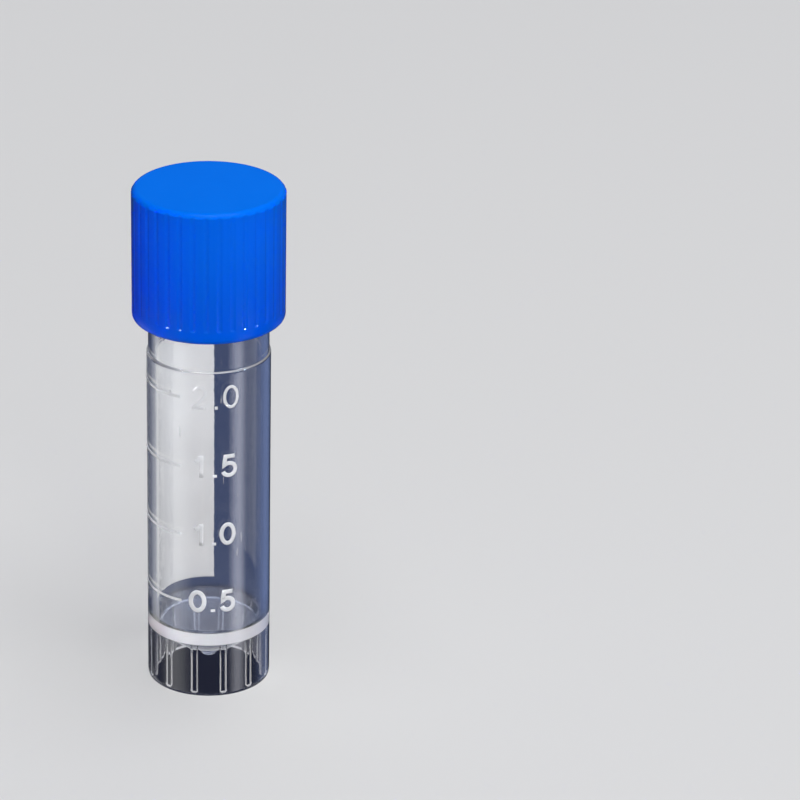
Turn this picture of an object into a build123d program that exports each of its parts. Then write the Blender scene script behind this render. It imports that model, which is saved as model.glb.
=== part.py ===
from build123d import *

import os
from math import sqrt

# Two-millilitre cryogenic storage vial, closed: a clear tube that stands on its own skirt, a screw cap
# on a coarse outside thread, the sealing washer under the cap, and the print on the tube.
# Millimetres. Z runs up the vial's axis from the plane that the skirt stands on, and -Y is the front,
# where the graduation numerals are read. Angles are counted from +X, anticlockwise seen from above.

# ---- tube -------------------------------------------------------------------------------------------
tube_height = 46.1            # standing plane to the lip that the washer seals on
body_diameter = 11.3
bore_diameter = 9.8
neck_diameter = 11.0          # thread core, a hair under the body so that the cap's mouth clears it
shoulder_height = 32.65       # where the body steps in to the neck
shoulder_slope = 0.1          # height of the sloping face of that step

# Skirt that lets the tube stand, and the round bottom of the bore above it.
skirt_height = 5.1            # standing plane up to the ledge round the bowl
skirt_wall = 0.65
ledge_width = 0.4
web_height = 1.25             # from the ledge up to the circle where the straight bore ends
bowl_depth = 2.9              # from that circle down to the lowest point inside
bowl_wall = 0.85              # thickness at the lowest point
gate_diameter = 1.4           # stub left by the mould's gate, under the bowl
gate_height = 0.8
rim_chamfer = 0.1             # broken edges of the skirt's rim and of the lip

# Ribs inside the skirt: a rack's star-shaped peg catches them, so the cap opens with one hand.
rib_count = 12
rib_width = 0.6
rib_depth = 0.4
rib_setback = 0.1             # the ribs stop this far above the standing plane
rib_nose_radius = 0.15
rib_first_angle = 15.0

# ---- thread, one start, right hand --------------------------------------------------------------------
thread_pitch = 3.0
thread_depth = 0.36
thread_base_width = 1.4
thread_crest_width = 0.8
thread_clearance = 0.12       # crest to the facing wall, and flank to flank when the cap is tight
thread_sink = 0.1             # how far a thread's foot runs into the wall that carries it
neck_thread_turns = 1.9
neck_thread_margin = 1.3      # lip down to the middle of the thread's last turn
cap_thread_turns = 1.5
cap_thread_height = 1.9       # cap's mouth up to the middle of its first turn
neck_thread_angle = 200.0

# ---- cap ----------------------------------------------------------------------------------------------
cap_wall = 0.97
cap_length = 12.5
cap_top_thickness = 1.2
cap_top_radius = 0.6
cap_mouth_radius = 0.5        # rounding of the mouth's outer edge
cap_entry_chamfer = 0.25      # lead-in at the mouth's inner edge
grip_count = 36
grip_groove_width = 0.5       # at the cap's outside
grip_floor_width = 0.16       # at the groove's floor
grip_groove_depth = 0.15
grip_band_height = 1.2        # plain band left between the mouth and the grooves
grip_first_angle = -2.0

# ---- sealing washer -----------------------------------------------------------------------------------
seal_thickness = 1.0
seal_hole_diameter = 7.8
seal_side_clearance = 0.08    # to the cap's bore
seal_chamfer = 0.15

# ---- print --------------------------------------------------------------------------------------------
print_thickness = 0.03
print_gap = 0.005             # keeps the print's inner face off the tube's curved wall
panel_bottom_height = 7.05
panel_shoulder_margin = 0.4   # from the panel's top edge up to the shoulder
panel_first_angle = 84.5
panel_span = 89.5
panel_corner_radius = 0.2
tick_count = 4                # half a millilitre apart
tick_first_height = 9.65
tick_spacing = 6.8
tick_width = 0.25
tick_corner_radius = 0.06
tick_first_angle = 176.0
tick_span = 68.0

# ---- worked out from the sizes above -------------------------------------------------------------------
body_radius = body_diameter / 2
bore_radius = bore_diameter / 2
neck_radius = neck_diameter / 2
skirt_inner_radius = body_radius - skirt_wall
bore_floor = skirt_height + web_height
bowl_bottom = bore_floor - bowl_depth
bowl_underside = bowl_bottom - bowl_wall

cap_bore_radius = neck_radius + thread_depth + thread_clearance
cap_radius = cap_bore_radius + cap_wall
cap_ceiling = tube_height + seal_thickness
cap_top = cap_ceiling + cap_top_thickness
cap_mouth = cap_top - cap_length

neck_thread_foot = tube_height - neck_thread_margin - neck_thread_turns * thread_pitch

# Height between the middles of the two threads when their flanks lie one clearance apart.
flank_run = (thread_base_width - thread_crest_width) / 2
paired_width = thread_base_width - flank_run * (thread_depth + thread_clearance) / thread_depth
thread_offset = paired_width + thread_clearance


def arc_down_to_axis(edge_radius, edge_height, bottom, start_radius=0.0):
    """Arc, centred on the axis, from the edge down to `bottom`; it may stop short at start_radius."""
    sag = edge_height - bottom
    radius = (edge_radius ** 2 + sag ** 2) / (2 * sag)

    def height(r):
        return bottom + radius - sqrt(radius ** 2 - r ** 2)

    middle = (edge_radius + start_radius) / 2
    return ThreePointArc(
        (edge_radius, edge_height), (middle, height(middle)), (start_radius, height(start_radius))
    )


def tube_section():
    """Half section of the one-piece moulding, in the XZ plane."""
    gate_radius = gate_diameter / 2
    gate_tip = bowl_underside - gate_height
    ledge_radius = skirt_inner_radius - ledge_width
    underside = arc_down_to_axis(ledge_radius, skirt_height, bowl_underside, gate_radius)
    bowl = arc_down_to_axis(bore_radius, bore_floor, bowl_bottom)
    outside = Polyline(
        underside @ 0,
        (skirt_inner_radius, skirt_height),
        (skirt_inner_radius, 0),
        (body_radius, 0),
        (body_radius, shoulder_height - shoulder_slope),
        (neck_radius, shoulder_height),
        (neck_radius, tube_height),
        (bore_radius, tube_height),
        bowl @ 0,
    )
    gate = Polyline(bowl @ 1, (0, gate_tip), (gate_radius, gate_tip), underside @ 1)
    section = make_face(Curve() + [underside, outside, bowl, gate])
    levels = section.vertices().group_by(Axis.Y)
    return chamfer(levels[0] + levels[-1], rim_chamfer)


def skirt_ribs():
    """The ribs on the skirt's inner wall, from just above the rim up into the ledge."""
    run_in = rib_depth / 2
    middle = skirt_inner_radius - (rib_depth - run_in) / 2
    section = Pos(middle, 0) * Rectangle(rib_depth + run_in, rib_width)
    section = fillet(section.vertices().sort_by(Axis.X)[:2], rib_nose_radius)
    rib = Pos(0, 0, rib_setback) * extrude(section, skirt_height - rib_setback + run_in)
    return PolarLocations(0, rib_count, rib_first_angle) * rib


def helical_thread(wall_radius, direction, turns, first_height, first_angle):
    """A trapezoidal thread on a wall, standing outwards (direction 1) or inwards (-1)."""
    path = Helix(thread_pitch, thread_pitch * turns, wall_radius, center=(0, 0, first_height))
    foot = thread_base_width / 2 + flank_run * thread_sink / thread_depth
    crest = thread_crest_width / 2
    section = make_face(
        Polyline(
            (-thread_sink * direction, -foot),
            (thread_depth * direction, -crest),
            (thread_depth * direction, crest),
            (-thread_sink * direction, foot),
            close=True,
        )
    )
    section = Plane(origin=path @ 0, x_dir=(1, 0, 0), z_dir=path % 0) * section
    return Rot(0, 0, first_angle) * sweep(section, path, is_frenet=True)


def make_tube():
    """One clear moulding: skirt, round-bottomed bore, body, shoulder and threaded neck."""
    body = revolve(Plane.XZ * tube_section(), Axis.Z)
    thread = helical_thread(neck_radius, 1, neck_thread_turns, neck_thread_foot, neck_thread_angle)
    return body + skirt_ribs() + thread


def rounded_corner(centre_height, radius, first_turn):
    """Points of an outer edge's quarter rounding, laid out as three narrow flats."""
    centre = Vector(cap_radius - radius, centre_height)
    return [centre + Vector(radius, 0).rotate(Axis.Z, first_turn - step) for step in (0, 30, 60, 90)]


def cap_section():
    """Half section of the cap's shell, in the XZ plane, rounded at the top edge and at the mouth."""
    top_edge = rounded_corner(cap_top - cap_top_radius, cap_top_radius, 90)
    mouth_edge = rounded_corner(cap_mouth + cap_mouth_radius, cap_mouth_radius, 0)
    return make_face(
        Polyline(
            (0, cap_top),
            *top_edge,
            *mouth_edge,
            (cap_bore_radius + cap_entry_chamfer, cap_mouth),
            (cap_bore_radius, cap_mouth + cap_entry_chamfer),
            (cap_bore_radius, cap_ceiling),
            (0, cap_ceiling),
            close=True,
        )
    )


def grip_grooves():
    """Shallow grooves with sloping sides, from above the plain band out through the cap's top edge."""
    outside = cap_radius + grip_groove_depth
    floor = cap_radius - grip_groove_depth
    outside_half = grip_groove_width - grip_floor_width / 2
    section = make_face(
        Polyline(
            (outside, -outside_half),
            (floor, -grip_floor_width / 2),
            (floor, grip_floor_width / 2),
            (outside, outside_half),
            close=True,
        )
    )
    groove = Pos(0, 0, cap_mouth + grip_band_height) * extrude(section, cap_length)
    return PolarLocations(0, grip_count, grip_first_angle) * groove


def make_cap():
    """Ribbed screw cap, its inner thread lying under the neck's, one clearance below it."""
    shell = revolve(Plane.XZ * cap_section(), Axis.Z) - grip_grooves()
    first_height = cap_mouth + cap_thread_height
    first_angle = neck_thread_angle + 360 * (first_height - neck_thread_foot + thread_offset) / thread_pitch
    return shell + helical_thread(cap_bore_radius, -1, cap_thread_turns, first_height, first_angle)


def make_seal():
    """Flat washer between the tube's lip and the cap's ceiling."""
    outer_radius = cap_bore_radius - seal_side_clearance
    hole_radius = seal_hole_diameter / 2
    section = Rectangle(outer_radius - hole_radius, seal_thickness)
    section = chamfer(section.vertices(), seal_chamfer)
    section = Pos((outer_radius + hole_radius) / 2, tube_height + seal_thickness / 2) * section
    return revolve(Plane.XZ * section, Axis.Z)


def print_film(low, high, first_angle, span, corner_radius):
    """A patch of print that lies round the tube's wall."""
    middle_radius = body_radius + print_gap + print_thickness / 2
    patch = Pos(middle_radius, (low + high) / 2) * Rectangle(print_thickness, high - low)
    film = Rot(0, 0, first_angle) * revolve(Plane.XZ * patch, Axis.Z, span)
    corners = film.edges().filter_by(lambda e: e.length < 2 * print_thickness)
    return fillet(corners, corner_radius)


def make_writing_panel():
    top = shoulder_height - panel_shoulder_margin
    return print_film(panel_bottom_height, top, panel_first_angle, panel_span, panel_corner_radius)


def make_graduation_ticks():
    ticks = []
    for index in range(tick_count):
        middle = tick_first_height + index * tick_spacing
        low = middle - tick_width / 2
        ticks.append(print_film(low, low + tick_width, tick_first_angle, tick_span, tick_corner_radius))
    return Compound(ticks)


os.makedirs("parts", exist_ok=True)
nodes = {
    "tube": make_tube(),
    "cap": make_cap(),
    "seal": make_seal(),
    "writing_panel": make_writing_panel(),
    "graduation_ticks": make_graduation_ticks(),
}
for name, solid in nodes.items():
    export_step(solid, f"parts/{name}.step")
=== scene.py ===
import math

import bmesh
import bpy
import numpy as np
from mathutils import Matrix, Vector


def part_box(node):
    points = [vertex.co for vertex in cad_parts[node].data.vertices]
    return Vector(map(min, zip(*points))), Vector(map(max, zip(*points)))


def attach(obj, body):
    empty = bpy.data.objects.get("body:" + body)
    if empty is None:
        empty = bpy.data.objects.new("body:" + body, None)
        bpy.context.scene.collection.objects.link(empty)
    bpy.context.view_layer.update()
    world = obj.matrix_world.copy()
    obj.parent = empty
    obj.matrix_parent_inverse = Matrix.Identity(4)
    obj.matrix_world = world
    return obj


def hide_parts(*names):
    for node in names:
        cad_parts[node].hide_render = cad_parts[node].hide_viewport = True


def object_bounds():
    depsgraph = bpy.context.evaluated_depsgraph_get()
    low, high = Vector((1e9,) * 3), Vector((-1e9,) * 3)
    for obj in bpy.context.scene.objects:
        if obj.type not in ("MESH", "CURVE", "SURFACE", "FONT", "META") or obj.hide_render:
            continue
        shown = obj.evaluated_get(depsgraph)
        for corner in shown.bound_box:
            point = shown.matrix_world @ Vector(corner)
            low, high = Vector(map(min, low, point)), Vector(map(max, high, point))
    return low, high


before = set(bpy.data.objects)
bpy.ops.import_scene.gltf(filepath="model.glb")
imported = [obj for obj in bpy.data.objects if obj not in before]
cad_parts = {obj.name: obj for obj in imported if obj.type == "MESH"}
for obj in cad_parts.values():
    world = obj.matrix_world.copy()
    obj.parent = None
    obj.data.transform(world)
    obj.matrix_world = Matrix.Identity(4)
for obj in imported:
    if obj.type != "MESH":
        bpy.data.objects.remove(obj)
cad_low, cad_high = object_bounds()
scene = bpy.context.scene
MM = 0.001

# ---- camera ---------------------------------------------------------------------------------------------
# A long lens well above the bench, turned a little to the right of the vial, so that the vial stands left
# of the middle of the frame. The camera's own upright stays in the vial's plane, which keeps it vertical.
CAMERA_DISTANCE = 402.7 * MM
CAMERA_ELEVATION = math.radians(24.45)
CAMERA_TURN = math.radians(2.488)      # to the right of the vial
CAMERA_LIFT = math.radians(0.433)      # above the vial's mid-height

camera_data = bpy.data.cameras.new("camera")
camera_data.lens = 198.02
camera_data.sensor_width = 36
camera_data.clip_start = 0.01
camera_data.clip_end = 20
camera = bpy.data.objects.new("camera", camera_data)
scene.collection.objects.link(camera)
to_the_right = Vector((1, 0, 0))
to_the_vial = Vector((0, math.cos(CAMERA_ELEVATION), -math.sin(CAMERA_ELEVATION)))
ahead = Vector((0, math.cos(CAMERA_ELEVATION - CAMERA_LIFT), -math.sin(CAMERA_ELEVATION - CAMERA_LIFT)))
camera_x = math.cos(CAMERA_TURN) * to_the_right - math.sin(CAMERA_TURN) * ahead
camera_z = -math.cos(CAMERA_TURN) * ahead - math.sin(CAMERA_TURN) * to_the_right
facing_vial = Matrix((camera_x, camera_z.cross(camera_x), camera_z)).transposed().to_4x4()
camera_place = (cad_low + cad_high) / 2 - to_the_vial * CAMERA_DISTANCE
camera.matrix_world = Matrix.Translation(camera_place) @ facing_vial
scene.camera = camera

# ---- bench and room -------------------------------------------------------------------------------------
# The bench top is a matt pale laminate that runs on into a pale room. Both look paler than they light the
# vial, so that its colours stay as deep as they are.
PALE = "#DDDDDC"
PALE_BOUNCE = "#6C6C6C"
ROOM_SEEN = 0.95
ROOM_LIGHT = 0.85


def linear(hex_colour):
    """sRGB hex colour as linear RGBA: c / 12.92 below 0.04045, ((c + 0.055) / 1.055) ** 2.4 above."""
    srgb = np.array([int(hex_colour[i:i + 2], 16) for i in (1, 3, 5)]) / 255
    rgb = np.where(srgb <= 0.04045, srgb / 12.92, ((srgb + 0.055) / 1.055) ** 2.4)
    return (*rgb.tolist(), 1.0)


def add_node(tree, kind, inputs=(), **settings):
    """One node with its settings. inputs maps a socket's name or number to a value or an output socket."""
    node = tree.nodes.new(kind)
    for name, value in settings.items():
        setattr(node, name, value)
    for socket, value in dict(inputs).items():
        if isinstance(value, bpy.types.NodeSocket):
            tree.links.new(value, node.inputs[socket])
        else:
            node.inputs[socket].default_value = value
    return node


def new_material(name):
    """A material of that name, and its empty node tree."""
    material = bpy.data.materials.new(name)
    material.use_nodes = True
    material.node_tree.nodes.clear()
    return material, material.node_tree


def around_axis(r, angle, z):
    """Points (r cos angle, r sin angle, z) of a grid, in metres, from millimetres and degrees."""
    r, angle, z = np.broadcast_arrays(r, np.radians(angle), z)
    return np.stack([r * np.cos(angle), r * np.sin(angle), z], axis=-1) * MM


def skin(name, points, close_columns=True):
    """Mesh over a grid of points (rows, columns, xyz): quad (i, j) joins rows i and i + 1 and columns j and
    j + 1, and the last column joins the first where close_columns is set. A row on the axis is a pole."""
    rows, columns = points.shape[:2]
    number = np.arange(rows * columns).reshape(rows, columns)
    if close_columns:
        number = np.concatenate([number, number[:, :1]], axis=1)
    quads = np.stack([number[:-1, :-1], number[:-1, 1:], number[1:, 1:], number[1:, :-1]], axis=-1)
    mesh = bpy.data.meshes.new(name)
    mesh.from_pydata(points.reshape(-1, 3).tolist(), [], quads.reshape(-1, 4).tolist())
    work = bmesh.new()
    work.from_mesh(mesh)
    bmesh.ops.remove_doubles(work, verts=work.verts, dist=1e-7)
    bmesh.ops.recalc_face_normals(work, faces=work.faces)
    work.to_mesh(mesh)
    work.free()
    mesh.shade_smooth()
    piece = bpy.data.objects.new(name, mesh)
    scene.collection.objects.link(piece)
    return piece


# Bench top: rings about the vial's axis, out to 8 m. Laminate pressed with a matt face: one even pale grey
# with no sheen.
ring_radius = np.array([0.0, 50, 200, 800, 3000, 8000])[:, None]
bench = skin("bench", around_axis(ring_radius, np.arange(0, 360, 7.5)[None, :], 0.0))
pale_laminate, tree = new_material("matt_pale_laminate")
bounce = add_node(tree, "ShaderNodeLightPath").outputs["Is Diffuse Ray"]
tone = add_node(
    tree, "ShaderNodeMix", {0: bounce, 6: linear(PALE), 7: linear(PALE_BOUNCE)}, data_type="RGBA"
)
shader = add_node(tree, "ShaderNodeBsdfDiffuse", {"Color": tone.outputs[2]})
add_node(tree, "ShaderNodeOutputMaterial", {"Surface": shader.outputs[0]})
bench.data.materials.append(pale_laminate)

# Room: pale where it is looked at, mirrored or seen through. Where it lights, it is brightest a little to
# the right of the middle, and dims and turns bluer towards both sides.
world = bpy.data.worlds.new("pale_room")
scene.world = world
world.use_nodes = True
tree = world.node_tree
tree.nodes.clear()
direction = add_node(tree, "ShaderNodeTexCoord").outputs["Generated"]
side = add_node(tree, "ShaderNodeSeparateXYZ", {0: direction}).outputs["X"]
aside = add_node(tree, "ShaderNodeMath", {0: side, 1: 0.25}, operation="SUBTRACT")
aside = add_node(tree, "ShaderNodeMath", {0: aside.outputs[0]}, operation="ABSOLUTE")
nearness = add_node(
    tree, "ShaderNodeMapRange",
    {"Value": aside.outputs[0], "From Min": 0.0, "From Max": 0.95, "To Min": 1.0, "To Max": 0.03},
).outputs[0]
strength = add_node(tree, "ShaderNodeMath", {0: nearness, 1: ROOM_LIGHT}, operation="MULTIPLY")
tint = add_node(
    tree, "ShaderNodeMix", {0: nearness, 6: linear("#DADEFF"), 7: linear("#FFFFFC")}, data_type="RGBA"
)
lit = add_node(tree, "ShaderNodeBackground", {"Color": tint.outputs[2], "Strength": strength.outputs[0]})
looked_at = add_node(tree, "ShaderNodeBackground", {"Color": linear(PALE), "Strength": ROOM_SEEN})
light_path = add_node(tree, "ShaderNodeLightPath")
seen = light_path.outputs["Is Camera Ray"]
for ray in ("Is Glossy Ray", "Is Transmission Ray"):
    either = add_node(tree, "ShaderNodeMath", {0: seen, 1: light_path.outputs[ray]}, operation="MAXIMUM")
    seen = either.outputs[0]
first_hand = add_node(
    tree, "ShaderNodeMath", {0: light_path.outputs["Diffuse Depth"], 1: 0.5}, operation="LESS_THAN"
)
seen = add_node(tree, "ShaderNodeMath", {0: seen, 1: first_hand.outputs[0]}, operation="MULTIPLY")
room = add_node(
    tree, "ShaderNodeMixShader", {0: seen.outputs[0], 1: lit.outputs[0], 2: looked_at.outputs[0]}
)
add_node(tree, "ShaderNodeOutputWorld", {"Surface": room.outputs[0]})

# ---- lamps ----------------------------------------------------------------------------------------------
# A broad softbox overhead, a small one before the vial, and narrow spots close to it. What lights the vial
# isn't looked at through it: its plastic shows and mirrors the cards of the next section.


def unseen_by(thing, *rays):
    """Hides a thing from those kinds of ray."""
    for ray in rays:
        setattr(thing, "visible_" + ray, False)


def softbox(name, place, target, width, height, watts, colour="#FFFFFF", spread=180):
    """Rectangular area lamp at place, turned to face target, its beam spread degrees wide."""
    data = bpy.data.lights.new(name, "AREA")
    data.shape = "RECTANGLE"
    data.size = width
    data.size_y = height
    data.energy = watts
    data.color = linear(colour)[:3]
    data.spread = math.radians(spread)
    lamp = bpy.data.objects.new(name, data)
    lamp.location = place
    lamp.rotation_euler = (Vector(target) - Vector(place)).to_track_quat("-Z", "Y").to_euler()
    scene.collection.objects.link(lamp)
    return lamp


overhead = softbox("overhead_softbox", (0.1, -0.25, 1.2), (0, 0, 0.02), 1.0, 1.0, 8.6)
unseen_by(overhead, "transmission")
front = softbox("front_softbox", (0.16, -1.15, 0.33), (0, 0, 0.02), 0.6, 0.4, 4.2)
unseen_by(front, "glossy")

# White spots light the milky web and the print. Each row: name, place, height aimed at, size and watts.
SPOT_SPREAD = 4
for name, place, aim, size, watts in (
    ("left_low_spot", (-0.09, -0.045, 0.0035), 0.0058, (0.03, 0.004), 2.6e-4),
    ("right_low_spot", (0.0765, -0.064, 0.0035), 0.0058, (0.03, 0.004), 1.1e-4),
    ("left_side_spot", (-0.082, -0.057, 0.022), 0.022, (0.02, 0.027), 5.4e-4),
):
    lamp = softbox(name, place, (0, 0, aim), *size, watts, spread=SPOT_SPREAD)
    unseen_by(lamp, "camera", "glossy", "transmission")

# Blue-gelled spots all round the cap deepen its colour.
CAP_MIDDLE = 0.048
for name, side, watts in (
    ("left_cap_spot", (-0.1, 0), 5.6e-4),
    ("front_cap_spot", (0, -0.1), 2.5e-4),
    ("right_cap_spot", (0.1, 0), 3.2e-4),
    ("back_cap_spot", (0, 0.1), 4.6e-4),
):
    place = (*side, CAP_MIDDLE)
    lamp = softbox(name, place, (0, 0, CAP_MIDDLE), 0.02, 0.026, watts, "#0000FF", SPOT_SPREAD)
    unseen_by(lamp, "camera", "glossy", "transmission")

# ---- cards and panels -----------------------------------------------------------------------------------
# What clear plastic shows is what stands round it. A dark tent and pale panels on the bench glow and show
# only
# in reflections: painted reflections. A drum of glowing cards in painted shade close round the vial is for
# what is seen through the plastic.


def clear_once_bounced(tree, glow):
    """Ends a card's material: it glows, but is let through once light has bounced off a matt surface."""
    bounced = add_node(tree, "ShaderNodeLightPath").outputs["Diffuse Depth"]
    bounced = add_node(tree, "ShaderNodeMath", {0: bounced, 1: 0.5}, operation="GREATER_THAN")
    let_through = add_node(tree, "ShaderNodeBsdfTransparent")
    shader = add_node(
        tree, "ShaderNodeMixShader", {0: bounced.outputs[0], 1: glow.outputs[0], 2: let_through.outputs[0]}
    )
    add_node(tree, "ShaderNodeOutputMaterial", {"Surface": shader.outputs[0]})


def keep_on_points(piece, name, values):
    """Keeps one value for each vertex of the piece, under that name, for its material."""
    kept = piece.data.attributes.new(name, "FLOAT", "POINT")
    kept.data.foreach_set("value", np.ravel(values).astype(float))


def mirrored_card(name, points, colour, strength, close_columns=True):
    """Sheet over a grid of points (rows, columns, xyz) that glows in one colour, for glossy surfaces alone.
    An open sheet fades out towards its first and last column as sin^2 of the share of its width, and is
    dimmer within 15 mm of the axis."""
    sheet = skin(name, points, close_columns)
    glowing, tree = new_material(name)
    if not close_columns:
        share = np.linspace(0, 1, points.shape[1])[None, :]
        distance = np.hypot(points[..., 0], points[..., 1])
        fade = np.sin(np.pi * share) ** 2 * np.interp(distance, [15 * MM, 20 * MM], [0.7, 1.0])
        keep_on_points(sheet, "fade", fade)
        across = add_node(tree, "ShaderNodeAttribute", attribute_name="fade").outputs["Fac"]
        faded = add_node(tree, "ShaderNodeMath", {0: across, 1: strength}, operation="MULTIPLY")
        strength = faded.outputs[0]
    glow = add_node(tree, "ShaderNodeEmission", {"Color": linear(colour), "Strength": strength})
    clear_once_bounced(tree, glow)
    sheet.data.materials.append(glowing)
    unseen_by(sheet, "camera", "diffuse", "transmission", "shadow")


# Tent: out along the bench from the skirt's rim, then up to a point overhead. It glows a dim grey in
# reflections alone: a painted dark reflection.
card_angle = np.arange(0, 360, 6)[None, :]
tent = np.array([[5.7, 0.1], [60, 0.1], [300, 0.1], [3000, 0.1], [2600, 1500], [1500, 2600], [0, 3000]])
mirrored_card("dark_tent", around_axis(tent[:, :1], card_angle, tent[:, 1:]), "#3C3E48", 1.0)

# The panels glow in reflections alone: painted reflections, the light streaks on the tube and the cap's
# mouth.
# Panels on the bench before the vial. An upright wall mirrors, from where it faces at the angle f, what lies
# out from there at the angle 2 f: the points (R sin f + s sin 2f, -R cos f - s cos 2f) for s upwards.
# Each row: name, colour, strength, first and last f, and the s from which the panel runs.
WALL_RADIUS = 5.65
PANEL_REACH = 82              # the largest s, in mm
PANEL_LEVEL = 0.2             # above the bench, in mm
for name, colour, strength, first, last, start in (
    ("right_light_panel", "#F4F5FF", 5.2, 17, 39, 0.1),
    ("far_right_light_panel", "#A6C0FF", 1.25, 42, 84, 0.1),
    ("left_light_panel", "#FBFBF6", 2.5, -54, -12, 0.1),
    ("far_left_light_panel", "#FBFBF6", 3.1, -73, -35, 11.0),
):
    facing = np.radians(np.linspace(first, last, 17))[None, :]
    run = np.linspace(start, PANEL_REACH, 24)[:, None]
    x = WALL_RADIUS * np.sin(facing) + run * np.sin(2 * facing)
    y = -WALL_RADIUS * np.cos(facing) - run * np.cos(2 * facing)
    panel = np.stack([x, y, 0 * x + PANEL_LEVEL], axis=-1) * MM
    mirrored_card(name, panel, colour, strength, close_columns=False)

# Two small bright cards at the sides, upright arcs, which glow in reflections alone: painted glints in the
# ends of the cap's grooves.
SPARKLE_DISTANCE = 520
SPARKLE_STRENGTH = 100.0
sparkle_height = np.array([120, 250])[:, None]
for name, first, last in (("left_sparkle", -68, -40), ("right_sparkle", 44, 76)):
    facing = np.linspace(first, last, 17)[None, :]
    sparkle = around_axis(SPARKLE_DISTANCE, facing - 90, sparkle_height)
    mirrored_card(name, sparkle, "#CFE8FF", SPARKLE_STRENGTH, close_columns=False)

# Drum: a floor, an upright wall and a lid, which only what looks through the plastic meets.
drum = np.array([
    [0, 0.01], [6, 0.01], [14, 0.01], [30, 0.01], [60, 0.01],
    [60, 30], [60, 60], [60, 110], [30, 110], [0, 110],
])
dark_drum = skin("glowing_shade_cards", around_axis(drum[:, :1], card_angle, drum[:, 1:]))


def object_place(tree):
    """Object coordinates for a material: the place, its distance from the axis and its height."""
    place = add_node(tree, "ShaderNodeTexCoord").outputs["Object"]
    flat = add_node(tree, "ShaderNodeVectorMath", {0: place, 1: (1, 1, 0)}, operation="MULTIPLY")
    out = add_node(tree, "ShaderNodeVectorMath", {0: flat.outputs[0]}, operation="LENGTH")
    height = add_node(tree, "ShaderNodeSeparateXYZ", {0: place})
    return place, out.outputs["Value"], height.outputs["Z"]


# Glowing card seen only through the plastic, its dark blue-grey a painted shade: darkest where the vial's
# own shade falls, and painted lighter towards the lid as light from above.
painted_shade_card, tree = new_material("glowing_painted_shade")
_, out, height = object_place(tree)
tone = linear("#1E2130")
for value, near, far, colour in (
    (out, 4.6, 6, "#3C3C48"),
    (out, 9, 20, "#434D6B"),
    (height, 20, 105, "#C8CEDC"),
):
    share = add_node(
        tree, "ShaderNodeMapRange", {"Value": value, "From Min": near * MM, "From Max": far * MM},
        interpolation_type="SMOOTHSTEP",
    )
    tone = add_node(
        tree, "ShaderNodeMix", {0: share.outputs[0], 6: tone, 7: linear(colour)}, data_type="RGBA"
    ).outputs[2]
clear_once_bounced(tree, add_node(tree, "ShaderNodeEmission", {"Color": tone, "Strength": 1.0}))
dark_drum.data.materials.append(painted_shade_card)
unseen_by(dark_drum, "camera", "diffuse", "glossy", "shadow")

# ---- tube -----------------------------------------------------------------------------------------------
# One injection moulding in clear polypropylene: a round-bottomed bore on a hollow skirt with twelve inner
# ribs, the stub of the mould's gate under the bowl, and a coarse one-start thread outside the neck.
tube_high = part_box("tube")[1]
BODY_RADIUS = 5.65
BORE_RADIUS = 4.9
NECK_RADIUS = 5.5
SKIRT_RADIUS = 5.0
LEDGE_RADIUS = 4.6
LEDGE_HEIGHT = 5.1
LIP_HEIGHT = tube_high.z / MM
SHOULDER_HEIGHT = 32.65
SHOULDER_FOOT = 32.5          # where the shoulder's slope starts
BORE_FLOOR = 6.35
BOWL_BOTTOM = 3.45
BOWL_UNDERSIDE = 2.6
GATE_RADIUS = 0.7
GATE_TIP = 1.8
RIBS = 12
RIB_ANGLE = 15.0
RIB_START = 0.1               # above the skirt's rim
RIB_FOOT_RISE = 0.16          # from the middle of a rib's foot up to its corners
RIB_RUN = 0.12                # height over which a rib stands out to its full depth
RIB_DEPTH = 0.23
RIB_HALF_WIDTH = 0.3
THREAD_PITCH = 3.0
THREAD_DEPTH = 0.36
THREAD_BASE = 1.4
THREAD_CREST = 0.8
NECK_THREAD_FOOT = 39.1
NECK_THREAD_TURNS = 1.9
NECK_THREAD_ANGLE = 200.0
UNDERSIDE_ARC = (LEDGE_RADIUS, LEDGE_HEIGHT, BOWL_UNDERSIDE)
BOWL_ARC = (BORE_RADIUS, BORE_FLOOR, BOWL_BOTTOM)


def rounded_line(corners, radii, steps=5):
    """Profile (r, z) through corners, each turned on an arc: with unit directions p to the last corner and
    q to the next, and t = radius / tan(half the angle between them), the arc runs from c + t p to c + t q
    about the point c + (p + q) / |p + q| * radius / sin(half the angle)."""
    line = [np.array([corners[0]], float)]
    for before, corner, after, radius in zip(corners[:-2], corners[1:-1], corners[2:], radii):
        c = np.array(corner, float)
        p = np.array(before, float) - c
        q = np.array(after, float) - c
        p /= np.linalg.norm(p)
        q /= np.linalg.norm(q)
        half = math.acos(np.clip(p @ q, -1, 1)) / 2
        run = radius / math.tan(half)
        centre = c + (p + q) / np.linalg.norm(p + q) * radius / math.sin(half)
        start = c + run * p - centre
        end = c + run * q - centre
        swing = math.pi - 2 * half
        t = np.linspace(0, 1, steps)[:, None]
        line.append(centre + (np.sin((1 - t) * swing) * start + np.sin(t * swing) * end) / math.sin(swing))
    line.append(np.array([corners[-1]], float))
    return np.concatenate(line)


def arc_height(r, edge_radius, edge_height, bottom):
    """Height at r of the arc about the axis through (edge_radius, edge_height) and (0, bottom):
    z = bottom + R - sqrt(R^2 - r^2), R = (edge_radius^2 + sag^2) / (2 sag)."""
    sag = edge_height - bottom
    big = (edge_radius ** 2 + sag ** 2) / (2 * sag)
    return bottom + big - np.sqrt(big ** 2 - np.minimum(r, big) ** 2)


def arc_rows(arc, start, end, steps):
    """Points (r, z) of one of the bowl's arcs, for r from start to end."""
    r = np.linspace(start, end, steps)
    return np.stack([r, arc_height(r, *arc)], axis=-1)


def upright_rows(r, start, end, steps):
    """Points (r, z) up or down an upright wall."""
    return np.stack([np.full(steps, r), np.linspace(start, end, steps)], axis=-1)


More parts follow.
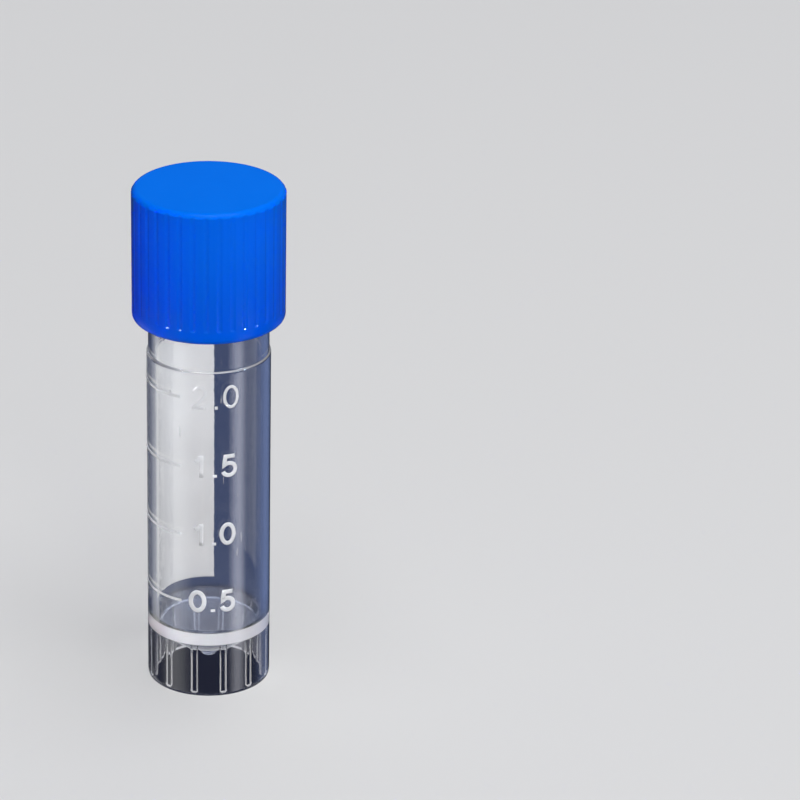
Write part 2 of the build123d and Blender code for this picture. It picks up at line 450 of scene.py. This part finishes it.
def rib_foot(from_middle):
    """Height of a rib's foot at a distance from its middle: start + rise (1 - sqrt(1 - share^3)), with the
    distance as a share of the rib's half width. Past it, the height stays that of the corner."""
    share = np.clip(np.abs(from_middle) / RIB_HALF_WIDTH, 0, 1)
    return RIB_START + RIB_FOOT_RISE * (1 - np.sqrt(1 - share ** 3))


def rib_columns():
    """Across one rib and the gap beside it: u is the distance along the wall from the rib's middle, depth
    is how far the rib stands in there. Its flanks are upright and its nose is rounded."""
    u = np.array([0, 0.08, 0.15, 0.2, 0.24, 0.27, 0.29, 0.3, 0.3, 0.305, 0.32, 0.36])
    depth = RIB_DEPTH * np.array([1, 1, 1, 0.96, 0.9, 0.8, 0.68, 0.5, 0.25, 0.12, 0.04, 0])
    gap = np.linspace(u[-1], 2 * math.pi * SKIRT_RADIUS / RIBS - u[-1], 9)[1:-1]
    return np.concatenate([-u[:0:-1], u, gap]), np.concatenate([depth[:0:-1], depth, 0 * gap])


def all_round(u, depth, count, first_angle, wall_radius):
    """Lays one step's columns count times round a wall: each column's angle in degrees, and its depth."""
    turn = np.repeat(first_angle + 360 / count * np.arange(count), len(u))
    angle = turn + np.degrees(np.tile(u, count) / wall_radius)
    return angle[None, :], np.tile(depth, count)[None, :]


def thread_height(angle, z, foot, turns, first_angle):
    """How far a one-start thread stands out at (angle, z): with s turns run, its middle is at
    foot + pitch * s, and the height is depth * (base / 2 - distance from that middle) / flank, held between
    0 and depth and fading at both ends."""
    turn = ((angle - first_angle) % 360) / 360
    height = 0 * z * turn
    flank = (THREAD_BASE - THREAD_CREST) / 2
    for whole in range(3):
        s = turn + whole
        distance = np.abs(z - foot - THREAD_PITCH * s)
        form = np.clip((THREAD_BASE / 2 - distance) / flank, 0, 1)
        ends = np.clip(s / 0.03, 0, 1) * np.clip((turns - s) / 0.03, 0, 1)
        height = np.maximum(height, form * ends)
    return THREAD_DEPTH * height


# Profile, from the gate's tip out under the bowl, down inside the skirt, up outside and down the bore.
underside_rows = arc_rows(UNDERSIDE_ARC, GATE_RADIUS + 0.05, LEDGE_RADIUS - 0.1, 18)
skirt_z = np.r_[4.9, 3.5, 2.0, 1.0, np.linspace(0.5, 0.12, 12)]
skirt_rows = np.stack([np.full(16, SKIRT_RADIUS), skirt_z], axis=-1)
neck_rows = upright_rows(NECK_RADIUS, SHOULDER_HEIGHT + 0.2, LIP_HEIGHT - 0.2, 110)
bore_rows = upright_rows(BORE_RADIUS, LIP_HEIGHT - 0.5, BORE_FLOOR + 0.3, 12)
tube_profile = np.concatenate([
    rounded_line([(0, GATE_TIP), (GATE_RADIUS, GATE_TIP), underside_rows[0] - [0.05, 0]], [0.2]),
    underside_rows,
    rounded_line(
        [underside_rows[-1], (LEDGE_RADIUS, LEDGE_HEIGHT), (SKIRT_RADIUS, LEDGE_HEIGHT), skirt_rows[0]],
        [0.05, 0.05],
    )[1:-1],
    skirt_rows,
    rounded_line(
        [(SKIRT_RADIUS, 0.11), (SKIRT_RADIUS, 0), (BODY_RADIUS, 0), (BODY_RADIUS, 0.6)], [0.1, 0.1]
    ),
    upright_rows(BODY_RADIUS, 1.0, SHOULDER_FOOT - 0.35, 12),
    rounded_line(
        [
            (BODY_RADIUS, SHOULDER_FOOT - 0.2), (BODY_RADIUS, SHOULDER_FOOT),
            (NECK_RADIUS, SHOULDER_HEIGHT), (NECK_RADIUS, SHOULDER_HEIGHT + 0.15),
        ],
        [0.08, 0.03],
    ),
    neck_rows,
    rounded_line(
        [neck_rows[-1], (NECK_RADIUS, LIP_HEIGHT), (BORE_RADIUS, LIP_HEIGHT), bore_rows[0]], [0.1, 0.1]
    )[1:-1],
    bore_rows,
    arc_rows(BOWL_ARC, BORE_RADIUS, 0, 30),
])

# Surface: the profile turned about the axis. On the skirt's wall a rib takes depth * sqrt(1 - (1 - rise)^2)
# off the radius, where rise goes from 0 to 1 above the rib's foot, and on the neck the thread adds to it.
profile_r = tube_profile[:, :1]
profile_z = tube_profile[:, 1:]
u, rib = rib_columns()
column_angle, column_rib = all_round(u, rib, RIBS, RIB_ANGLE, SKIRT_RADIUS)
on_skirt_wall = np.abs(profile_r - SKIRT_RADIUS) < 0.06
inside_skirt = on_skirt_wall & (profile_z > RIB_START - 0.01) & (profile_z < LEDGE_HEIGHT + 0.1)
rise = np.clip((profile_z - np.tile(rib_foot(u), RIBS)[None, :]) / RIB_RUN, 0, 1)
rib_depth = np.where(inside_skirt, np.sqrt(1 - (1 - rise) ** 2), 0) * column_rib
on_neck = (np.abs(profile_r - NECK_RADIUS) < 0.001) & (profile_z > SHOULDER_HEIGHT + 0.1)
thread = thread_height(column_angle, profile_z, NECK_THREAD_FOOT, NECK_THREAD_TURNS, NECK_THREAD_ANGLE)
tube_r = profile_r - rib_depth + np.where(on_neck, thread, 0)
tube = skin("tube_moulding", around_axis(tube_r, column_angle, profile_z))

# Rib flanks, rib feet and the skirt's rim: painted highlights, white laid into the plastic along the
# moulding's edges. across is the distance round the wall to the nearest rib's middle.
tube_points = np.zeros(len(tube.data.vertices) * 3)
tube.data.vertices.foreach_get("co", tube_points)
x, y, z = tube_points.reshape(-1, 3).T / MM
r = np.hypot(x, y)
half_step = 180 / RIBS
from_rib = np.abs((np.degrees(np.arctan2(y, x)) - RIB_ANGLE + half_step) % (2 * half_step) - half_step)
across = np.radians(from_rib) * SKIRT_RADIUS
foot_height = rib_foot(across)
on_rib = (r > 4.5) & (r < SKIRT_RADIUS + 0.01) & (z < LEDGE_HEIGHT + 0.05) & (across < 0.42)
flank = on_rib & (across > 0.17) & (r < 4.87) & (z > foot_height) & (z < 4.9)
foot = on_rib & (across < 0.325) & (z > foot_height - 0.02) & (z < foot_height + 0.1)
rim_highlight = (z < 0.27) & (r > SKIRT_RADIUS - 0.01) & (r < SKIRT_RADIUS + 0.12)
keep_on_points(tube, "painted_edge_highlight", np.where(flank | foot, 0.45, 0))
keep_on_points(tube, "painted_rim_highlight", np.where(rim_highlight, 0.9, 0))


def near_arc(arc):
    """Which of the tube's points lie within 0.12 mm of one of the bowl's arcs."""
    return (r < arc[0] - 0.02) & (np.abs(z - arc_height(r, *arc)) < 0.12)


# Both faces of the bowl and the gate's stub, which the mould leaves less bright than the walls.
in_bowl = near_arc(BOWL_ARC)
on_gate = (r < GATE_RADIUS + 0.06) & (z < BOWL_UNDERSIDE + 0.1)
keep_on_points(tube, "bowl_matt", np.where(near_arc(UNDERSIDE_ARC) | in_bowl, 1, 0))
keep_on_points(tube, "bowl_haze", np.where(in_bowl, 1, np.where(on_gate, 0.4, 0)))


def zone(tree, weight, *limits):
    """The weight where every value lies between its low and high, and 0 elsewhere, easing over soft at both
    ends: its product with smooth steps from 0 at low to 1 at low + soft, and from 0 at high to 1 at
    high - soft."""
    for value, low, high, soft in limits:
        for start, end in ((low, low + soft), (high, high - soft)):
            step = add_node(
                tree, "ShaderNodeMapRange", {"Value": value, "From Min": start, "From Max": end},
                interpolation_type="SMOOTHSTEP",
            )
            weight = add_node(
                tree, "ShaderNodeMath", {0: weight, 1: step.outputs[0]}, operation="MULTIPLY"
            ).outputs[0]
    return weight


# Clear polypropylene, moulded in polished steel: bright to the eye, with faint waves drawn out along its
# length and a few fine scratches. Thick plastic cools slowly and turns milky, so the web round the bowl's
# edge is nearly white and the bowl is hazy. The rib edges, the skirt's rim and the shoulder's edge are
# painted white as highlights.
clear_pp, tree = new_material("clear_moulded_polypropylene")
place, out, height = object_place(tree)
drawn = add_node(tree, "ShaderNodeMapping", {"Vector": place, "Scale": (1, 1, 0.06)})
waves = add_node(tree, "ShaderNodeTexNoise", {"Vector": drawn.outputs[0], "Scale": 700.0, "Detail": 3.0})
bump = add_node(
    tree, "ShaderNodeBump", {"Height": waves.outputs[0], "Strength": 0.25, "Distance": 0.02 * MM}
)
patchy = add_node(tree, "ShaderNodeTexNoise", {"Vector": place, "Scale": 400.0, "Detail": 4.0})
gloss = add_node(tree, "ShaderNodeMapRange", {"Value": patchy.outputs[0], "To Min": 0.02, "To Max": 0.07})
fine = add_node(
    tree, "ShaderNodeMapping", {"Vector": place, "Rotation": (0.3, 0.2, 0), "Scale": (1, 1, 0.12)}
)
streaks = add_node(tree, "ShaderNodeTexNoise", {"Vector": fine.outputs[0], "Scale": 4200.0, "Detail": 1.0})
patches = add_node(tree, "ShaderNodeTexNoise", {"Vector": place, "Scale": 330.0, "Detail": 2.0})
scuffs = zone(
    tree, 0.38, (streaks.outputs[0], 0.7, 2.0, 0.04), (patches.outputs[0], 0.56, 2.0, 0.08),
    (out, 5.6 * MM, 7 * MM, 0.01 * MM), (height, 7 * MM, 32 * MM, 1 * MM),
)
backfacing = add_node(tree, "ShaderNodeNewGeometry").outputs["Backfacing"]
outer_face = (backfacing, -1.0, 0.5, 0.1)
web = zone(
    tree, 0.86, outer_face, (height, 5.2 * MM, 6.5 * MM, 0.1 * MM), (out, 5.3 * MM, 7 * MM, 0.1 * MM)
)
# Painted highlight: a thin white line along the shoulder's edge.
shoulder_highlight = zone(
    tree, 0.6, (height, SHOULDER_FOOT * MM, (SHOULDER_HEIGHT + 0.02) * MM, 0.04 * MM),
    (out, 5.45 * MM, 5.8 * MM, 0.02 * MM),
)
# Painted highlights: the rib flanks and feet, and the skirt's rim on its outer face, are turned white.
painted_rim_highlight = add_node(tree, "ShaderNodeAttribute", attribute_name="painted_rim_highlight").outputs["Fac"]
rim_highlight = zone(tree, painted_rim_highlight, outer_face)
milky = add_node(tree, "ShaderNodeAttribute", attribute_name="painted_edge_highlight").outputs["Fac"]
haze = add_node(tree, "ShaderNodeAttribute", attribute_name="bowl_haze").outputs["Fac"]
faint_haze = add_node(tree, "ShaderNodeMath", {0: haze, 1: 0.09}, operation="MULTIPLY").outputs[0]
# milky gathers the web's whitening, the bowl's haze and the scratches with the painted highlights.
for layer in (web, faint_haze, rim_highlight, scuffs, shoulder_highlight):
    milky = add_node(tree, "ShaderNodeMath", {0: milky, 1: layer}, operation="MAXIMUM").outputs[0]
clear = add_node(tree, "ShaderNodeMath", {0: 1.0, 1: milky}, operation="SUBTRACT")
tint = add_node(
    tree, "ShaderNodeMix", {0: milky, 6: linear("#FCFCFD"), 7: linear("#DADADF")}, data_type="RGBA"
)
tint = add_node(tree, "ShaderNodeMix", {0: haze, 6: tint.outputs[2], 7: linear("#DDE6FF")}, data_type="RGBA")
bowl = add_node(tree, "ShaderNodeAttribute", attribute_name="bowl_matt").outputs["Fac"]
blur = add_node(tree, "ShaderNodeMix", {0: bowl, 2: gloss.outputs[0], 3: 0.14})
shader = add_node(
    tree, "ShaderNodeBsdfPrincipled",
    {
        "Base Color": tint.outputs[2], "Roughness": blur.outputs[0], "IOR": 1.49,
        "Transmission Weight": clear.outputs[0], "Normal": bump.outputs[0],
    },
)
add_node(tree, "ShaderNodeOutputMaterial", {"Surface": shader.outputs[0]})
tube.data.materials.append(clear_pp)
unseen_by(tube, "shadow")     # clear plastic under broad light hardly shades the bench
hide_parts("tube")
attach(tube, "tube_body")

# ---- cap ------------------------------------------------------------------------------------------------
# One injection moulding in blue polypropylene: top plate, skirt with thirty-six narrow grip grooves that
# run out through the rounded top edge, a plain band at the mouth, and the thread inside.
cap_low, cap_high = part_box("cap")
CAP_RADIUS = cap_high.x / MM
CAP_TOP = cap_high.z / MM
CAP_MOUTH = cap_low.z / MM
CAP_EDGE_IN = 0.287           # the top edge's slope, before it is rounded: how far in, and how far down
CAP_EDGE_DOWN = 0.41
CAP_BORE = 5.98
CAP_CEILING = 47.1
CAP_LEAD_IN = 0.25            # sloping edge inside the mouth
CAP_THREAD_RISE = 1.9         # from the mouth to the thread's first turn
CAP_THREAD_TURNS = 1.5
CAP_THREAD_ANGLE = 98.0
GROOVES = 36
GROOVE_ANGLE = -92.0
GROOVE_START = CAP_MOUTH + 1.2
GROOVE_DEPTH = 0.07
GROOVE_RUN_OUT = 0.24         # height over which a groove rises to the plain band


def groove_columns():
    """Across one groove and the rib beside it: u is the distance along the wall from the groove's middle,
    depth is how far the groove is cut in there. It has a floor, sloping sides and broken outer edges."""
    u = np.array([0, 0.07, 0.1, 0.14, 0.18, 0.215, 0.24, 0.27, 0.31])
    depth = GROOVE_DEPTH * np.array([1, 0.99, 0.92, 0.71, 0.47, 0.25, 0.11, 0.03, 0])
    rib = np.linspace(u[-1], 2 * math.pi * CAP_RADIUS / GROOVES - u[-1], 5)[1:-1]
    return np.concatenate([-u[:0:-1], u, rib]), np.concatenate([depth[:0:-1], depth, 0 * rib])


# Profile, from the middle of the top out and down, round the mouth, up the bore and in to the axis.
grooved_line = np.concatenate([
    rounded_line(
        [
            (0, CAP_TOP), (CAP_RADIUS - CAP_EDGE_IN, CAP_TOP), (CAP_RADIUS, CAP_TOP - CAP_EDGE_DOWN),
            (CAP_RADIUS, GROOVE_START + 0.5),
        ],
        [0.6, 0.06], steps=13,
    ),
    upright_rows(CAP_RADIUS, GROOVE_START + 0.32, GROOVE_START, 9),
])
cap_profile = np.concatenate([
    grooved_line,
    rounded_line(
        [
            (CAP_RADIUS, GROOVE_START - 0.2), (CAP_RADIUS, CAP_MOUTH), (CAP_BORE + CAP_LEAD_IN, CAP_MOUTH),
            (CAP_BORE, CAP_MOUTH + CAP_LEAD_IN), (CAP_BORE, CAP_MOUTH + 0.5),
        ],
        [0.5, 0.08, 0.1], steps=9,
    ),
    upright_rows(CAP_BORE, CAP_MOUTH + 0.6, CAP_MOUTH + 8.0, 65),
    rounded_line([(CAP_BORE, CAP_CEILING - 1.0), (CAP_BORE, CAP_CEILING), (0, CAP_CEILING)], [0.15]),
])

# Surface: the profile turned about the axis. Outside, the radius is at most R - depth * (3 t^2 - 2 t^3),
# where t goes from 0 to 1 over a groove's run-out, and in the bore the thread takes its height off it.
profile_r = cap_profile[:, :1]
profile_z = cap_profile[:, 1:]
u, groove = groove_columns()
column_angle, column_groove = all_round(u, groove, GROOVES, GROOVE_ANGLE, CAP_RADIUS)
run_out = np.clip((profile_z - GROOVE_START) / GROOVE_RUN_OUT, 0, 1)
groove_floor = CAP_RADIUS - column_groove * run_out * run_out * (3 - 2 * run_out)
outside = np.arange(len(cap_profile))[:, None] < len(grooved_line)
on_bore = np.abs(profile_r - CAP_BORE) < 0.001
threaded = on_bore & (profile_z > CAP_MOUTH + 0.5) & (profile_z < CAP_MOUTH + 8.1)
thread = thread_height(
    column_angle, profile_z, CAP_MOUTH + CAP_THREAD_RISE, CAP_THREAD_TURNS, CAP_THREAD_ANGLE
)
cap_r = np.where(outside, np.minimum(profile_r, groove_floor), profile_r) - np.where(threaded, thread, 0)
cap = skin("cap_moulding", around_axis(cap_r, column_angle, profile_z))

# Blue polypropylene, moulded: a deep even blue with slight clouding in the pigment, darker towards the
# mouth as painted shade, a soft satin sheen and the tool's fine spark texture.
blue_pp, tree = new_material("blue_moulded_polypropylene")
place, _, height = object_place(tree)
cloud = add_node(tree, "ShaderNodeTexNoise", {"Vector": place, "Scale": 260.0, "Detail": 3.0})
pigment_and_shade = add_node(
    tree, "ShaderNodeMix", {0: cloud.outputs[0], 6: linear("#006FE9"), 7: linear("#0074EF")},
    data_type="RGBA",
)
# Painted shade: the blue darkens from high on the side down to the mouth, as under light from above.
painted_shade_fade = add_node(
    tree, "ShaderNodeMapRange", {"Value": height, "From Min": 37 * MM, "From Max": 46.5 * MM},
    interpolation_type="SMOOTHSTEP",
)
pigment_and_shade = add_node(
    tree, "ShaderNodeMix", {0: painted_shade_fade.outputs[0], 6: linear("#0064E4"), 7: pigment_and_shade.outputs[2]},
    data_type="RGBA",
)
spark = add_node(tree, "ShaderNodeTexNoise", {"Vector": place, "Scale": 9000.0, "Detail": 2.0})
bump = add_node(
    tree, "ShaderNodeBump", {"Height": spark.outputs[0], "Strength": 0.2, "Distance": 0.01 * MM}
)
sheen = add_node(tree, "ShaderNodeMapRange", {"Value": cloud.outputs[0], "To Min": 0.1, "To Max": 0.15})
groove_ends = zone(tree, 1.0, (height, (GROOVE_START - 0.15) * MM, (GROOVE_START + 0.6) * MM, 0.1 * MM))
sheen = add_node(tree, "ShaderNodeMix", {0: groove_ends, 2: sheen.outputs[0], 3: 0.1})
grooved = zone(tree, 1.0, (height, (GROOVE_START - 0.15) * MM, (CAP_TOP - 0.4) * MM, 0.15 * MM))
polish = add_node(tree, "ShaderNodeMapRange", {"Value": grooved, "To Min": 0.05, "To Max": 0.35})
shader = add_node(
    tree, "ShaderNodeBsdfPrincipled",
    {
        "Base Color": pigment_and_shade.outputs[2], "Roughness": sheen.outputs[0], "IOR": 1.49,
        "Specular IOR Level": polish.outputs[0], "Normal": bump.outputs[0],
    },
)
add_node(tree, "ShaderNodeOutputMaterial", {"Surface": shader.outputs[0]})
cap.data.materials.append(blue_pp)
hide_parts("cap")
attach(cap, "cap_body")

# ---- sealing washer -------------------------------------------------------------------------------------
# A flat ring punched from moulded silicone sheet, pressed into the cap's ceiling. It shows only from below
# with the cap off. Silicone rubber: matt and slightly milky, a warm off-white.
silicone, tree = new_material("moulded_silicone_rubber")
place = add_node(tree, "ShaderNodeTexCoord").outputs["Object"]
milky = add_node(tree, "ShaderNodeTexNoise", {"Vector": place, "Scale": 500.0, "Detail": 3.0})
tone = add_node(
    tree, "ShaderNodeMix", {0: milky.outputs[0], 6: linear("#C9C9C4"), 7: linear("#DAD9D3")},
    data_type="RGBA",
)
bump = add_node(
    tree, "ShaderNodeBump", {"Height": milky.outputs[0], "Strength": 0.3, "Distance": 0.02 * MM}
)
shader = add_node(
    tree, "ShaderNodeBsdfPrincipled",
    {"Base Color": tone.outputs[2], "Roughness": 0.55, "IOR": 1.41, "Normal": bump.outputs[0]},
)
add_node(tree, "ShaderNodeOutputMaterial", {"Surface": shader.outputs[0]})
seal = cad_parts["seal"]
seal.data.materials.clear()
seal.data.materials.append(silicone)

# ---- print ----------------------------------------------------------------------------------------------
# White ink, screen printed on the tube and cured: the writing panel at the back left, and the volume marks
# with their numerals. The ink is a few hundredths of a millimetre thick and lies a hair into the wall.
PRINT_RADIUS = BODY_RADIUS + 0.034
PRINT_THICKNESS = 0.044

# Screen printing ink, cured: white and even outside, duller where it is seen through the wall, from behind.
# There it is painted lighter towards the top, as light against the cap's shade.
white_ink, tree = new_material("white_screen_printing_ink")
place, out, height = object_place(tree)
speckle = add_node(tree, "ShaderNodeTexNoise", {"Vector": place, "Scale": 1500.0, "Detail": 4.0})
front_tone = add_node(
    tree, "ShaderNodeMix", {0: speckle.outputs[0], 6: linear("#F1F3F6"), 7: linear("#FAFBFD")},
    data_type="RGBA",
)
behind = add_node(tree, "ShaderNodeMath", {0: out, 1: (BODY_RADIUS + 0.01) * MM}, operation="LESS_THAN")
# Painted light: from behind, the ink is lighter towards the top, where the cap shades it.
painted_light_share = add_node(
    tree, "ShaderNodeMapRange", {"Value": height, "From Min": 9 * MM, "From Max": 31 * MM},
    interpolation_type="SMOOTHSTEP",
)
back_tone_and_light = add_node(
    tree, "ShaderNodeMix", {0: painted_light_share.outputs[0], 6: linear("#DEDDDC"), 7: linear("#FDFDFD")},
    data_type="RGBA",
)
tone = add_node(
    tree, "ShaderNodeMix", {0: behind.outputs[0], 6: front_tone.outputs[2], 7: back_tone_and_light.outputs[2]},
    data_type="RGBA",
)
bump = add_node(
    tree, "ShaderNodeBump", {"Height": speckle.outputs[0], "Strength": 0.3, "Distance": 0.01 * MM}
)
cured = add_node(tree, "ShaderNodeMix", {0: behind.outputs[0], 2: 0.18, 3: 0.6})
shader = add_node(
    tree, "ShaderNodeBsdfPrincipled",
    {"Base Color": tone.outputs[2], "Roughness": cured.outputs[0], "IOR": 1.5, "Normal": bump.outputs[0]},
)
add_node(tree, "ShaderNodeOutputMaterial", {"Surface": shader.outputs[0]})


def finish_print(piece):
    """Gives a sheet of ink its thickness, towards the axis, its material and its place on the tube."""
    ink = piece.modifiers.new("ink", "SOLIDIFY")
    ink.thickness = PRINT_THICKNESS * MM
    ink.offset = -1
    piece.data.materials.append(white_ink)
    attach(piece, "tube_body")


def wall_patch(name, angle, z):
    """Patch of ink round the wall, for grids of angle in degrees and z in mm, facing away from the axis."""
    patch = skin(name, around_axis(PRINT_RADIUS, angle, z), close_columns=False)
    normal = np.zeros(len(patch.data.polygons) * 3)
    centre = np.zeros(len(patch.data.polygons) * 3)
    patch.data.polygons.foreach_get("normal", normal)
    patch.data.polygons.foreach_get("center", centre)
    if np.sum(normal.reshape(-1, 3)[:, :2] * centre.reshape(-1, 3)[:, :2]) < 0:
        patch.data.flip_normals()
    return patch


# Writing panel: its long edges wander by a few hundredths of a millimetre, as a stencil's edge prints. The
# angle runs evenly with t from edge to edge, plus a wander of two sine waves in z, which (1 - t)^8 and t^8
# keep to the edges.
PANEL_ANGLE = 84.5
PANEL_SPAN = 89.3
panel_low, panel_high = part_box("writing_panel")
t = np.linspace(0, 1, 61)[None, :]
z = np.linspace(panel_low.z / MM, panel_high.z / MM, 161)[:, None]
wander = 0.25 * np.sin(5.1 * z) * np.sin(1.7 * z + 1.0) + 0.15 * np.sin(11.3 * z + 0.6)
panel_angle = PANEL_ANGLE + PANEL_SPAN * t + wander * (1 - t) ** 8 - wander[::-1] * t ** 8
writing_panel = wall_patch("writing_panel_print", panel_angle, z)
finish_print(writing_panel)
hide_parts("writing_panel")


def joined(name, sheets):
    """The sheets' meshes as one piece."""
    whole = bmesh.new()
    for sheet in sheets:
        whole.from_mesh(sheet.data)
        bpy.data.objects.remove(sheet)
    mesh = bpy.data.meshes.new(name)
    whole.to_mesh(mesh)
    whole.free()
    piece = bpy.data.objects.new(name, mesh)
    scene.collection.objects.link(piece)
    return piece


# Graduation ticks: four arcs, half a millilitre apart, in one print.
TICK_FIRST = 9.65
TICK_SPACING = 6.8
TICK_WIDTH = 0.25
TICK_ANGLE = 176.2
TICK_SPAN = 67.6
tick_angle = TICK_ANGLE + np.linspace(0, TICK_SPAN, 41)[None, :]
ticks = []
for count in range(4):
    level = TICK_FIRST + TICK_SPACING * count
    z = level + TICK_WIDTH / 2 * np.array([-1, -0.9, 0, 0.9, 1])[:, None]
    ticks.append(wall_patch(f"tick_{count}", tick_angle, z))
graduation = joined("graduation_ticks_print", ticks)
finish_print(graduation)
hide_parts("graduation_ticks")

# Numerals: plain upright figures beside the ticks, read from the front. A figure is one ribbon of ink along
# its own line, drawn in a box one unit high with its foot at 0 and its middle at 0.
FIGURE_HEIGHT = 2.25
FIGURE_DROP = 1.0             # from a tick's middle down to the foot of its numeral


def bow(x, y, half_width, half_height, first, last, steps=17):
    """Arc (x + a cos t, y + b sin t) for t from first to last, in degrees."""
    t = np.radians(np.linspace(first, last, steps))
    return np.stack([x + half_width * np.cos(t), y + half_height * np.sin(t)], axis=-1)


def straight(*points):
    """Straight runs through the points, four steps each."""
    points = np.array(points, float)
    t = np.linspace(0, 1, 5)[:-1, None]
    runs = [(1 - t) * p + t * q for p, q in zip(points[:-1], points[1:])]
    return np.concatenate([*runs, points[-1:]])


FIGURES = {
    "0": [bow(0, 0.5, 0.5, 0.5, 90, 450, 49)],
    "1": [straight((0.2, 1.08), (0.2, -0.08)), straight((-0.32, 0.74), (-0.08, 0.84), (0.13, 1.02))],
    "2": [
        np.concatenate([
            bow(-0.02, 0.72, 0.46, 0.28, 168, -30, 25),
            straight((0.2, 0.42), (-0.28, 0.13), (-0.48, 0.0), (0.5, 0.0)),
        ])
    ],
    "5": [
        np.concatenate([
            straight((0.42, 1.0), (-0.3, 1.0), (-0.42, 0.52)),
            bow(-0.02, 0.32, 0.5, 0.32, 132, -158, 33),
        ])
    ],
    ".": [straight((0.0, -0.08), (0.0, 0.07))],
}


def ribbon(line, width, shift, stretch, foot):
    """Grid of ink along a line: the line is stretched to its size, so that x is the distance round the wall
    and y the height, and at each point the normal, lengthened at a bend to 1 / cos(half the bend), is run
    out to half the width on both sides."""
    line = line * [stretch, FIGURE_HEIGHT - width] + [shift, foot + width / 2]
    run = np.diff(line, axis=0)
    run /= np.linalg.norm(run, axis=1, keepdims=True)
    before = np.concatenate([run[:1], run])
    after = np.concatenate([run, run[-1:]])
    if np.allclose(line[0], line[-1]):
        before[0], after[-1] = run[-1], run[0]
    along = before + after
    along /= np.linalg.norm(along, axis=1, keepdims=True)
    normal = np.stack([-along[:, 1], along[:, 0]], axis=-1)
    lengthen = 1 / np.clip(np.sum(along * after, axis=1), 0.55, 1)
    reach = np.linspace(-0.5, 0.5, 5)[:, None, None] * width
    return line[None] + reach * (normal * lengthen[:, None])[None]


# Each row: its tick, its line weight, and each figure's middle and width round the wall, in mm.
for index, weight, figures in (
    (0, 0.42, (("0", -1.04, 1.66), (".", 0.38, 1.5), ("5", 1.75, 1.54))),
    (1, 0.38, (("1", -0.92, 1.5), (".", 0.47, 1.5), ("0", 1.75, 1.56))),
    (2, 0.38, (("1", -0.92, 1.5), (".", 0.54, 1.5), ("5", 1.89, 1.6))),
    (3, 0.28, (("2", -0.83, 1.4), (".", 0.67, 1.5), ("0", 2.04, 1.5))),
):
    foot = TICK_FIRST - FIGURE_DROP + TICK_SPACING * index
    strokes = []
    for figure, middle_of_figure, width in figures:
        for line in FIGURES[figure]:
            grid = ribbon(line, weight, middle_of_figure, width - weight, foot)
            angle = -90 + np.degrees(grid[..., 0] / BODY_RADIUS)
            strokes.append(wall_patch("stroke", angle, grid[..., 1]))
    row = joined(f"numerals_{index}", strokes)
    finish_print(row)

# ---- standard view transform, and done ------------------------------------------------------------------
scene.view_settings.view_transform = "Standard"
